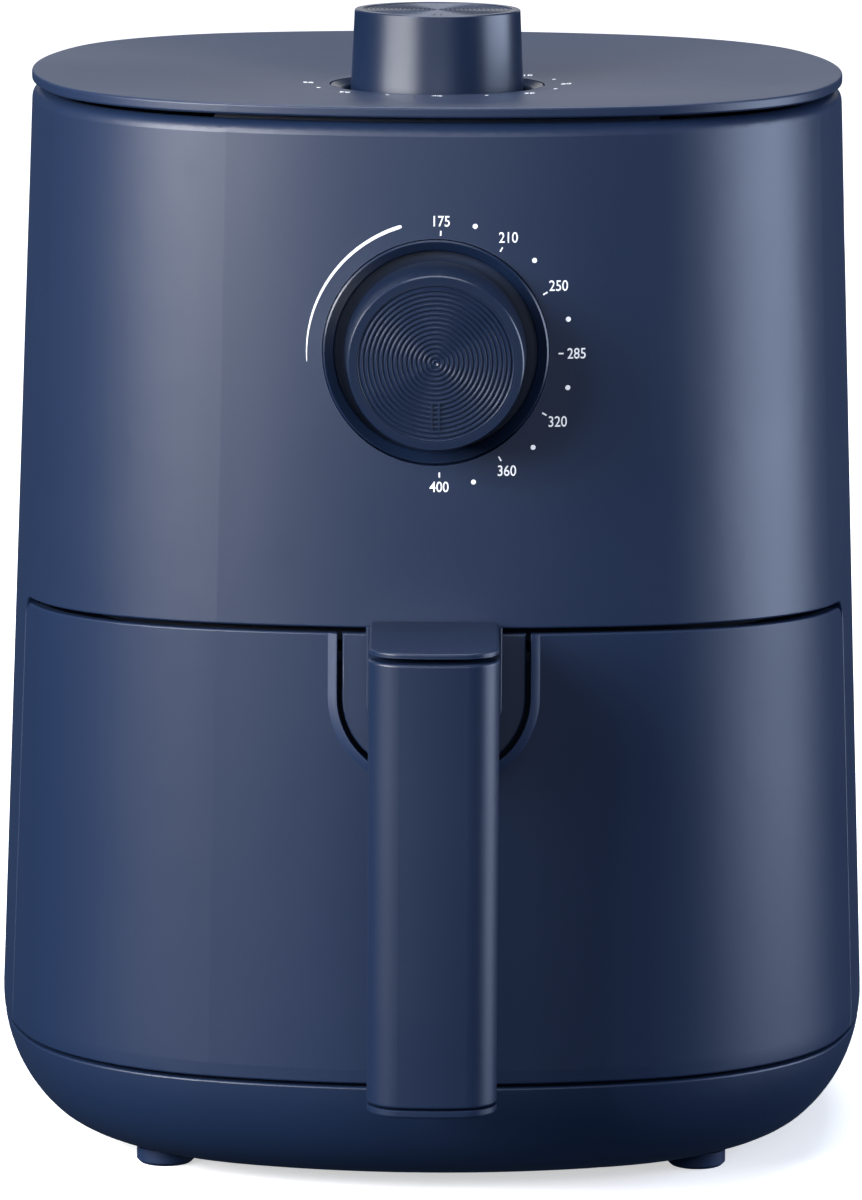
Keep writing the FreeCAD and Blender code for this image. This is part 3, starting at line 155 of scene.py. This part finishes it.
class Surface:
    """A material whose colour, roughness and bump come from a few layered patterns."""

    def __init__(self, name, roughness, metallic=0.0, specular=0.5):
        self.material = bpy.data.materials.new(name)
        self.material.use_nodes = True
        self.tree = self.material.node_tree
        self.shader = self.tree.nodes["Principled BSDF"]
        self.shader.inputs["Roughness"].default_value = roughness
        self.shader.inputs["Metallic"].default_value = metallic
        self.shader.inputs["Specular IOR Level"].default_value = specular
        self.roughness = roughness
        self.where = self.tree.nodes.new("ShaderNodeTexCoord").outputs["Object"]
        self.normal = None

    def stretched(self, scale):
        mapping = self.tree.nodes.new("ShaderNodeMapping")
        mapping.inputs["Scale"].default_value = scale
        self.tree.links.new(self.where, mapping.inputs["Vector"])
        return mapping.outputs["Vector"]

    def noise(self, scale, detail=3.0, stretch=None):
        pattern = self.tree.nodes.new("ShaderNodeTexNoise")
        pattern.inputs["Scale"].default_value = scale
        pattern.inputs["Detail"].default_value = detail
        where = self.stretched(stretch) if stretch else self.where
        self.tree.links.new(where, pattern.inputs["Vector"])
        return pattern.outputs["Fac"]

    def cells(self, scale, output="Color"):
        pattern = self.tree.nodes.new("ShaderNodeTexVoronoi")
        pattern.inputs["Scale"].default_value = scale
        self.tree.links.new(self.where, pattern.inputs["Vector"])
        if output != "Color":
            return pattern.outputs[output]
        split = self.tree.nodes.new("ShaderNodeSeparateColor")
        self.tree.links.new(pattern.outputs["Color"], split.inputs["Color"])
        return split.outputs["Red"]

    def bands(self, scale, direction):
        pattern = self.tree.nodes.new("ShaderNodeTexWave")
        pattern.bands_direction = direction
        pattern.inputs["Scale"].default_value = scale
        self.tree.links.new(self.where, pattern.inputs["Vector"])
        return pattern.outputs["Fac"]

    def span(self, value, low, high, start=0.3, end=0.7):
        """Rescales a pattern's usual range, and holds it there."""
        rescale = self.tree.nodes.new("ShaderNodeMapRange")
        for name, number in (("From Min", start), ("From Max", end), ("To Min", low), ("To Max", high)):
            rescale.inputs[name].default_value = number
        self.tree.links.new(value, rescale.inputs["Value"])
        return rescale.outputs["Result"]

    def blend(self, factor, one, two):
        """A colour between two, either of which may come from another blend."""
        mix = self.tree.nodes.new("ShaderNodeMix")
        mix.data_type = "RGBA"
        self.tree.links.new(factor, mix.inputs["Factor"])
        for name, colour in (("A", one), ("B", two)):
            if isinstance(colour, tuple):
                mix.inputs[name].default_value = (*colour, 1)
            else:
                self.tree.links.new(colour, mix.inputs[name])
        return mix.outputs["Result"]

    def painted_edge_highlight(self, radius):
        """The mask of a painted edge highlight: one along the edges and nil on open faces, broken up by
        noise.
        """
        bevel = self.tree.nodes.new("ShaderNodeBevel")
        bevel.samples = 6
        bevel.inputs["Radius"].default_value = radius
        face = self.tree.nodes.new("ShaderNodeNewGeometry")
        dot = self.tree.nodes.new("ShaderNodeVectorMath")
        dot.operation = "DOT_PRODUCT"
        self.tree.links.new(bevel.outputs["Normal"], dot.inputs[0])
        self.tree.links.new(face.outputs["Normal"], dot.inputs[1])
        edge = self.span(dot.outputs["Value"], 1.0, 0.0, 0.80, 0.995)
        broken = self.span(self.noise(90, 4.0), 0.45, 1.0, 0.35, 0.6)
        both = self.tree.nodes.new("ShaderNodeMath")
        both.operation = "MULTIPLY"
        self.tree.links.new(edge, both.inputs[0])
        self.tree.links.new(broken, both.inputs[1])
        return both.outputs["Value"]

    def colour(self, source):
        self.tree.links.new(source, self.shader.inputs["Base Color"])

    def rough(self, pattern, swing):
        result = self.span(pattern, self.roughness - swing, self.roughness + swing)
        self.tree.links.new(result, self.shader.inputs["Roughness"])

    def bump(self, height, distance, strength=1.0):
        node = self.tree.nodes.new("ShaderNodeBump")
        node.inputs["Strength"].default_value = strength
        node.inputs["Distance"].default_value = distance
        self.tree.links.new(height, node.inputs["Height"])
        if self.normal is not None:
            self.tree.links.new(self.normal, node.inputs["Normal"])
        self.normal = node.outputs["Normal"]
        self.tree.links.new(self.normal, self.shader.inputs["Normal"])


def shade(colour, amount):
    return tuple(channel * amount for channel in colour)


def moulded(name, colour, roughness, grain, specular=0.5, edge=1.5):
    """Spark-eroded plastic: a fine grain, a slow drift in gloss, and edges lightened as a painted
    highlight.
    """
    surface = Surface(name, roughness, specular=specular)
    fine = surface.noise(2400, 3.0)
    body = surface.blend(surface.span(fine, 0, 1), shade(colour, 0.93), shade(colour, 1.07))
    drift = surface.blend(surface.span(surface.noise(7, 3.0), 0, 1), shade(colour, 0.96), body)
    edge_highlight_mask = surface.painted_edge_highlight(0.0006)
    # Painted highlight: the edges take a lighter copy of the colour, in place of light caught by rounded
    # edges.
    lighter = tuple(channel * edge + 0.010 for channel in colour)
    surface.colour(surface.blend(edge_highlight_mask, drift, lighter))
    surface.rough(surface.noise(16, 6.0), 0.025)
    surface.bump(fine, grain)
    return surface.material


def rubber(name, colour, roughness):
    surface = Surface(name, roughness, specular=0.3)
    dust = surface.span(surface.noise(60, 8.0), 0, 1, 0.45, 0.75)
    surface.colour(surface.blend(dust, colour, tuple(c * 1.6 + 0.01 for c in colour)))
    surface.rough(surface.noise(300, 4.0), 0.06)
    surface.bump(surface.noise(900, 4.0), 0.00006)
    return surface.material


def nonstick():
    """Dark coating with a light fleck and an orange-peel skin."""
    surface = Surface("nonstick_coat", 0.33, specular=0.55)
    fleck = surface.span(surface.cells(1500, "Distance"), 1, 0, 0.05, 0.16)
    choose = surface.span(surface.cells(1500), 0, 1, 0.80, 0.82)
    both = surface.tree.nodes.new("ShaderNodeMath")
    both.operation = "MULTIPLY"
    surface.tree.links.new(fleck, both.inputs[0])
    surface.tree.links.new(choose, both.inputs[1])
    base = surface.blend(surface.noise(30, 5.0), (0.017, 0.017, 0.018), (0.028, 0.028, 0.030))
    surface.colour(surface.blend(both.outputs["Value"], base, (0.16, 0.16, 0.17)))
    surface.rough(surface.noise(45, 6.0), 0.05)
    surface.bump(surface.noise(520, 2.0), 0.00005)
    return surface.material


def drawn_metal(name, dark, light, roughness, stretch, scratch=0.000012):
    """Metal with the fine lines that rolling, drawing or brushing leaves."""
    surface = Surface(name, roughness, metallic=1.0)
    lines = surface.noise(140, 6.0, stretch)
    surface.colour(surface.blend(surface.span(lines, 0, 1), dark, light))
    surface.rough(lines, 0.07)
    surface.bump(lines, scratch)
    return surface.material


def galvanised():
    """Sheet with the flower-like spangle of hot-dip zinc."""
    surface = Surface("galvanised_steel", 0.38, metallic=1.0)
    spangle = surface.cells(190)
    tint = surface.blend(spangle, (0.40, 0.42, 0.44), (0.62, 0.64, 0.66))
    surface.colour(surface.blend(surface.span(surface.noise(25, 6.0), 0, 0.4), tint, (0.36, 0.37, 0.38)))
    surface.rough(spangle, 0.06)
    surface.bump(surface.cells(190, "Distance"), 0.00004, 0.5)
    return surface.material


def laminations():
    """A stack of half-millimetre iron sheets, seen on edge."""
    surface = Surface("laminated_iron", 0.48, metallic=0.9)
    sheets = surface.bands(320, "Z")
    surface.colour(surface.blend(sheets, (0.10, 0.10, 0.11), (0.26, 0.26, 0.27)))
    surface.rough(surface.noise(200, 5.0), 0.08)
    surface.bump(sheets, 0.00008)
    return surface.material


def windings():
    """Enamelled wire laid side by side."""
    surface = Surface("copper_wire", 0.28, metallic=1.0)
    wires = surface.bands(260, "Z")
    surface.colour(surface.blend(wires, (0.30, 0.10, 0.035), (0.72, 0.32, 0.13)))
    surface.rough(surface.noise(150, 5.0), 0.06)
    surface.bump(wires, 0.0002)
    return surface.material


def fired_ceramic():
    surface = Surface("ceramic_body", 0.42)
    fleck = surface.span(surface.noise(1400, 4.0), 0, 1, 0.55, 0.72)
    surface.colour(surface.blend(fleck, (0.78, 0.76, 0.70), (0.60, 0.56, 0.48)))
    surface.rough(surface.noise(80, 4.0), 0.06)
    surface.bump(surface.noise(1000, 3.0), 0.00004)
    return surface.material


def printed():
    """Screen-printed white, a little thin at the edges of the mesh that it went through."""
    surface = Surface("print_white", 0.55, specular=0.3)
    thin = surface.span(surface.noise(3000, 3.0), 0, 1)
    surface.colour(surface.blend(thin, (0.74, 0.76, 0.78), (0.86, 0.87, 0.88)))
    surface.rough(surface.noise(900, 3.0), 0.05)
    surface.bump(thin, 0.00001)
    # The print also glows a little: painted light that keeps the white bright whichever way it faces.
    surface.shader.inputs["Emission Color"].default_value = (0.94, 0.96, 1.0, 1)
    surface.shader.inputs["Emission Strength"].default_value = 0.42
    return surface.material


NAVY = (0.0080, 0.0205, 0.0575)


def make_materials():
    return {
        "body_plastic": moulded("body_plastic", NAVY, 0.43, 0.000012, 0.60),
        "handle_plastic": moulded("handle_plastic", shade(NAVY, 0.85), 0.41, 0.000012, 0.60),
        # The knob's navy is the body navy at 0.7: partly its own darker tone, partly painted shade for
        # its dark skirt and face.
        "knob_plastic": moulded("knob_plastic", shade(NAVY, 0.70), 0.31, 0.000008, 0.68),
        "drawer_plastic": moulded("drawer_plastic", NAVY, 0.45, 0.000012, 0.45),
        # The lip's navy is the body navy lightened by 1.3 and made glossier: a painted highlight for its
        # bright outer flank.
        "lip_plastic": moulded("lip_plastic", shade(NAVY, 1.3), 0.40, 0.000008, 0.95),
        # The trim's navy is the body navy at 0.35: painted shade, darkened to match the collar wall in
        # the lid's shadow.
        "trim_plastic": moulded("trim_plastic", shade(NAVY, 0.35), 0.60, 0.000030, 0.25),
        "black_plastic": moulded("black_plastic", (0.014, 0.014, 0.015), 0.46, 0.000025),
        "foot_rubber": rubber("foot_rubber", (0.006, 0.018, 0.055), 0.62),
        "silicone": rubber("silicone", (0.030, 0.030, 0.034), 0.50),
        "nonstick_coat": nonstick(),
        "bright_steel": drawn_metal("bright_steel", (0.42, 0.42, 0.43), (0.64, 0.64, 0.65), 0.27,
                                    (1, 1, 22)),
        "galvanised_steel": galvanised(),
        "laminated_iron": laminations(),
        "aluminium": drawn_metal("aluminium", (0.58, 0.59, 0.60), (0.76, 0.77, 0.78), 0.34,
                                 (1, 14, 1)),
        "copper_wire": windings(),
        "ceramic_body": fired_ceramic(),
        "print_white": printed(),
    }


# ---- printed scales ------------------------------------------------------------------------

def half_width(x, y):
    """Half-width of the plan outline that passes through a point, measured from the axis."""
    small, large = sorted((abs(x), abs(y)))
    square = x * x + y * y
    if small < large * ARC_MEETING:
        drop = SIDE_BOW - 1
        term = 2 * drop * large
        quad = SIDE_BOW ** 2 - drop ** 2
        return (term + math.sqrt(term ** 2 + 4 * quad * square)) / (2 * quad)
    quad = CORNER_BOW ** 2 - 2 * CORNER_CENTRE ** 2
    term = 2 * CORNER_CENTRE * (small + large)
    return (-term + math.sqrt(term ** 2 + 4 * quad * square)) / (2 * quad)


FRONT_HALF = 109.6 * MM
FRONT_FROM = 34 * MM
TAPER = 0.0361
LID_LOW_HALF = 29 * MM
LID_HIGH_HALF = 100 * MM
LID_DISH = 4.3 * MM
LID_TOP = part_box("top_lid")[1][2]
INK = 0.05 * MM
SEAM_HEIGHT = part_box("handle_bracket")[1][2] - 0.2 * MM


def on_front(across, up, lift):
    """A point on the housing's front, from the front dial's centre."""
    z = FRONT_DIAL_Z + up
    half = FRONT_HALF - TAPER * (z - FRONT_FROM)
    bow = SIDE_BOW * half
    y = (SIDE_BOW - 1) * half - math.sqrt(bow ** 2 - across ** 2)
    return Vector((across, AXIS_Y + y - lift, z + lift * TAPER))


def on_lid(across, up, lift):
    """A point on the lid's dished top, from the timer's centre."""
    half = half_width(across, up)
    sunk = (LID_HIGH_HALF - half) / (LID_HIGH_HALF - LID_LOW_HALF) * LID_DISH
    return Vector((across, AXIS_Y + up, LID_TOP - sunk + lift))


class Print:
    """Thin raised ink on a curved face, gathered into one mesh."""

    def __init__(self, put):
        self.put = put
        self.points = []
        self.faces = []

    def add(self, points, faces):
        start = len(self.points)
        self.points += [self.put(*point) for point in points]
        self.faces += [tuple(start + i for i in face) for face in faces]

    def outline(self, corners):
        """A closed thin plate from a flat outline that runs anticlockwise."""
        count = len(corners)
        points = [(x, y, INK) for x, y in corners] + [(x, y, -INK) for x, y in corners]
        sides = [(i, i + count, (i + 1) % count + count, (i + 1) % count) for i in range(count)]
        self.add(points, [tuple(range(count)), tuple(reversed(range(count, 2 * count)))] + sides)

    def dot(self, x, y, radius):
        steps = [2 * math.pi * i / 20 for i in range(20)]
        self.outline([(x + radius * math.cos(a), y + radius * math.sin(a)) for a in steps])

    def text(self, words, x, y, size, weight):
        curve = bpy.data.curves.new("text", "FONT")
        curve.body = words
        curve.size = size
        curve.align_x = "CENTER"
        curve.align_y = "CENTER"
        curve.extrude = INK
        curve.offset = weight
        curve.resolution_u = 4
        maker = bpy.data.objects.new("text", curve)
        bpy.context.scene.collection.objects.link(maker)
        mesh = bpy.data.meshes.new_from_object(maker)
        narrow = 0.86
        low = min(v.co.y for v in mesh.vertices)
        high = max(v.co.y for v in mesh.vertices)
        rise = (low + high) / 2
        points = [(x + v.co.x * narrow, y + v.co.y - rise, v.co.z) for v in mesh.vertices]
        self.add(points, [tuple(face.vertices) for face in mesh.polygons])
        bpy.data.objects.remove(maker)
        bpy.data.meshes.remove(mesh)
        bpy.data.curves.remove(curve)

    def piece(self, name, body, material):
        mesh = bpy.data.meshes.new(name)
        mesh.from_pydata(self.points, [], self.faces)
        mesh.materials.append(material)
        thing = bpy.data.objects.new(name, mesh)
        bpy.context.scene.collection.objects.link(thing)
        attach(thing, body)
        return thing


def clock(degrees, radius):
    """A place on a dial, clockwise from the top."""
    turn = math.radians(degrees)
    return radius * math.sin(turn), radius * math.cos(turn)


# The front scale's centre stands a little off the dial's.
SCALE_X = 1.0 * MM
SCALE_Y = -0.35 * MM


def tick(ink, angle, inner, outer, side):
    """A short radial mark on the front scale."""
    along = clock(angle, 1)
    cross = (along[1], -along[0])
    corners = [(inner, -side), (inner, side), (outer, side), (outer, -side)]
    ink.outline([(SCALE_X + r * along[0] + s * cross[0], SCALE_Y + r * along[1] + s * cross[1])
                 for r, s in reversed(corners)])


def swelling_arc(ink, start, end, radius):
    """An arc that swells from a hair at its start to a blunt end."""
    steps = 60
    thin, swell = 0.06 * MM, 0.37 * MM
    inner_side = []
    outer_side = []
    for i in range(steps + 1):
        part = i / steps
        thick = thin + swell * part ** 0.6
        if i == steps:
            thick *= 0.6
        angle = start + (end - start) * part
        inner_side.append(clock(angle, radius - thick))
        outer_side.append(clock(angle, radius + thick))
    ring = outer_side[::-1] + inner_side
    total = len(ring)
    points = [(x + SCALE_X, y + SCALE_Y, lift) for lift in (INK, -INK) for x, y in ring]
    faces = []
    for i in range(steps):
        quad = (i, i + 1, total - 2 - i, total - 1 - i)
        faces.append(quad)
        faces.append(tuple(n + total for n in reversed(quad)))
    faces += [(i, i + total, (i + 1) % total + total, (i + 1) % total) for i in range(total)]
    ink.add(points, faces)


def front_scale(material):
    """Temperatures, ticks and dots down the right side, and a swelling arc on the left."""
    ink = Print(on_front)
    labels = ("175", "210", "250", "285", "320", "360", "400")
    step = 30
    for i, words in enumerate(labels):
        angle = step * i
        # Labels beside the dial are wider than they are high, so they stand further out.
        label_radius = (31.7 + 0.9 * abs(math.sin(math.radians(angle)))) * MM
        x, y = clock(angle, label_radius)
        ink.text(words, x + SCALE_X, y + SCALE_Y, size=3.6 * MM, weight=0.02 * MM)
        tick(ink, angle, inner=28.25 * MM, outer=29.45 * MM, side=0.175 * MM)
        if i < len(labels) - 1:
            x, y = clock(angle + step / 2, 31.6 * MM)
            ink.dot(x + SCALE_X, y + SCALE_Y, radius=0.60 * MM)
    swelling_arc(ink, start=266, end=343, radius=31.8 * MM)
    return ink.piece("front_scale_print", "housing", material)


def lid_scale(material):
    """Minutes round the timer, nought at the back, with a dot between each two."""
    ink = Print(on_lid)
    labels = ("0", "10", "20", "30", "40", "50", "60")
    step = 45
    for i, words in enumerate(labels):
        x, y = clock(step * i, 32.4 * MM)
        ink.text(words, x, y, size=3.2 * MM, weight=0.04 * MM)
        if i < len(labels) - 1:
            x, y = clock(step * i + step / 2, 32.0 * MM)
            ink.dot(x, y, radius=0.5 * MM)
    return ink.piece("lid_scale_print", "housing", material)


# ---- raised lip round the handle's plate ----------------------------------------------------

GROOVE = 1.15 * MM
PLATE_CORNER = 18 * MM


def lip_path():
    """The groove's outer edge on the drawer's front, as (across, height, outward) from the left."""
    low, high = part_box("handle_bracket")
    half = (high[0] - low[0]) / 2 + GROOVE
    bottom = low[2] - GROOVE
    corner = PLATE_CORNER + GROOVE
    inside = half - corner
    top = SEAM_HEIGHT
    straight = top - bottom - corner
    side_steps, corner_steps = 12, 16
    path = [(-half, top - straight * i / side_steps, (-1, 0)) for i in range(side_steps)]
    for side, first, last in ((-1, 180, 270), (1, 270, 360)):
        for i in range(corner_steps + 1):
            turn = math.radians(first + (last - first) * i / corner_steps)
            out = (math.cos(turn), math.sin(turn))
            path.append((side * inside + corner * out[0], bottom + corner + corner * out[1], out))
    path += [(half, bottom + corner + straight * i / side_steps, (1, 0))
             for i in range(1, side_steps + 1)]
    return path


def handle_lip(material):
    """A low ridge on the drawer's skin: its outer face slopes, and its inner face is the groove's.

    The section is in millimetres, as (distance out from the groove, height above the skin)."""
    section = [(2.35, -0.25), (2.25, 0.05), (0.50, 0.98), (0.15, 0.98), (0.02, 0.82), (0.02, -1.6),
               (2.0, -1.6)]
    path = lip_path()
    points = []
    for across, height, out in path:
        for away, lift in section:
            x = across + out[0] * away * MM
            up = height + out[1] * away * MM - FRONT_DIAL_Z
            points.append(on_front(x, up, lift * MM))
    count = len(section)
    faces = []
    for i in range(len(path) - 1):
        for j in range(count):
            a, b = i * count + j, i * count + (j + 1) % count
            faces.append((a, b, b + count, a + count))
    faces.append(tuple(range(count)))
    faces.append(tuple(reversed(range(len(points) - count, len(points)))))
    mesh = bpy.data.meshes.new("handle_lip")
    mesh.from_pydata([tuple(p) for p in points], [], [tuple(reversed(f)) for f in faces])
    mesh.shade_smooth()
    mesh.set_sharp_from_angle(angle=math.radians(35))
    mesh.materials.append(material)
    lip = bpy.data.objects.new("handle_lip", mesh)
    bpy.context.scene.collection.objects.link(lip)
    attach(lip, "drawer")


# ---- assembly ------------------------------------------------------------------------------

make_camera()
make_floor()
make_light()
materials = make_materials()
slots = {part["node"]: part["material_slot"] for part in frame["record"]["subparts"]}
finishes = dict(slots, drawer_front="drawer_plastic")
for name, thing in frame["nodes"].items():
    thing.data.materials.clear()
    thing.data.materials.append(materials[finishes[name]])
front_scale(materials["print_white"])
lid_scale(materials["print_white"])
handle_lip(materials["lip_plastic"])
bpy.context.scene.view_settings.view_transform = "Standard"
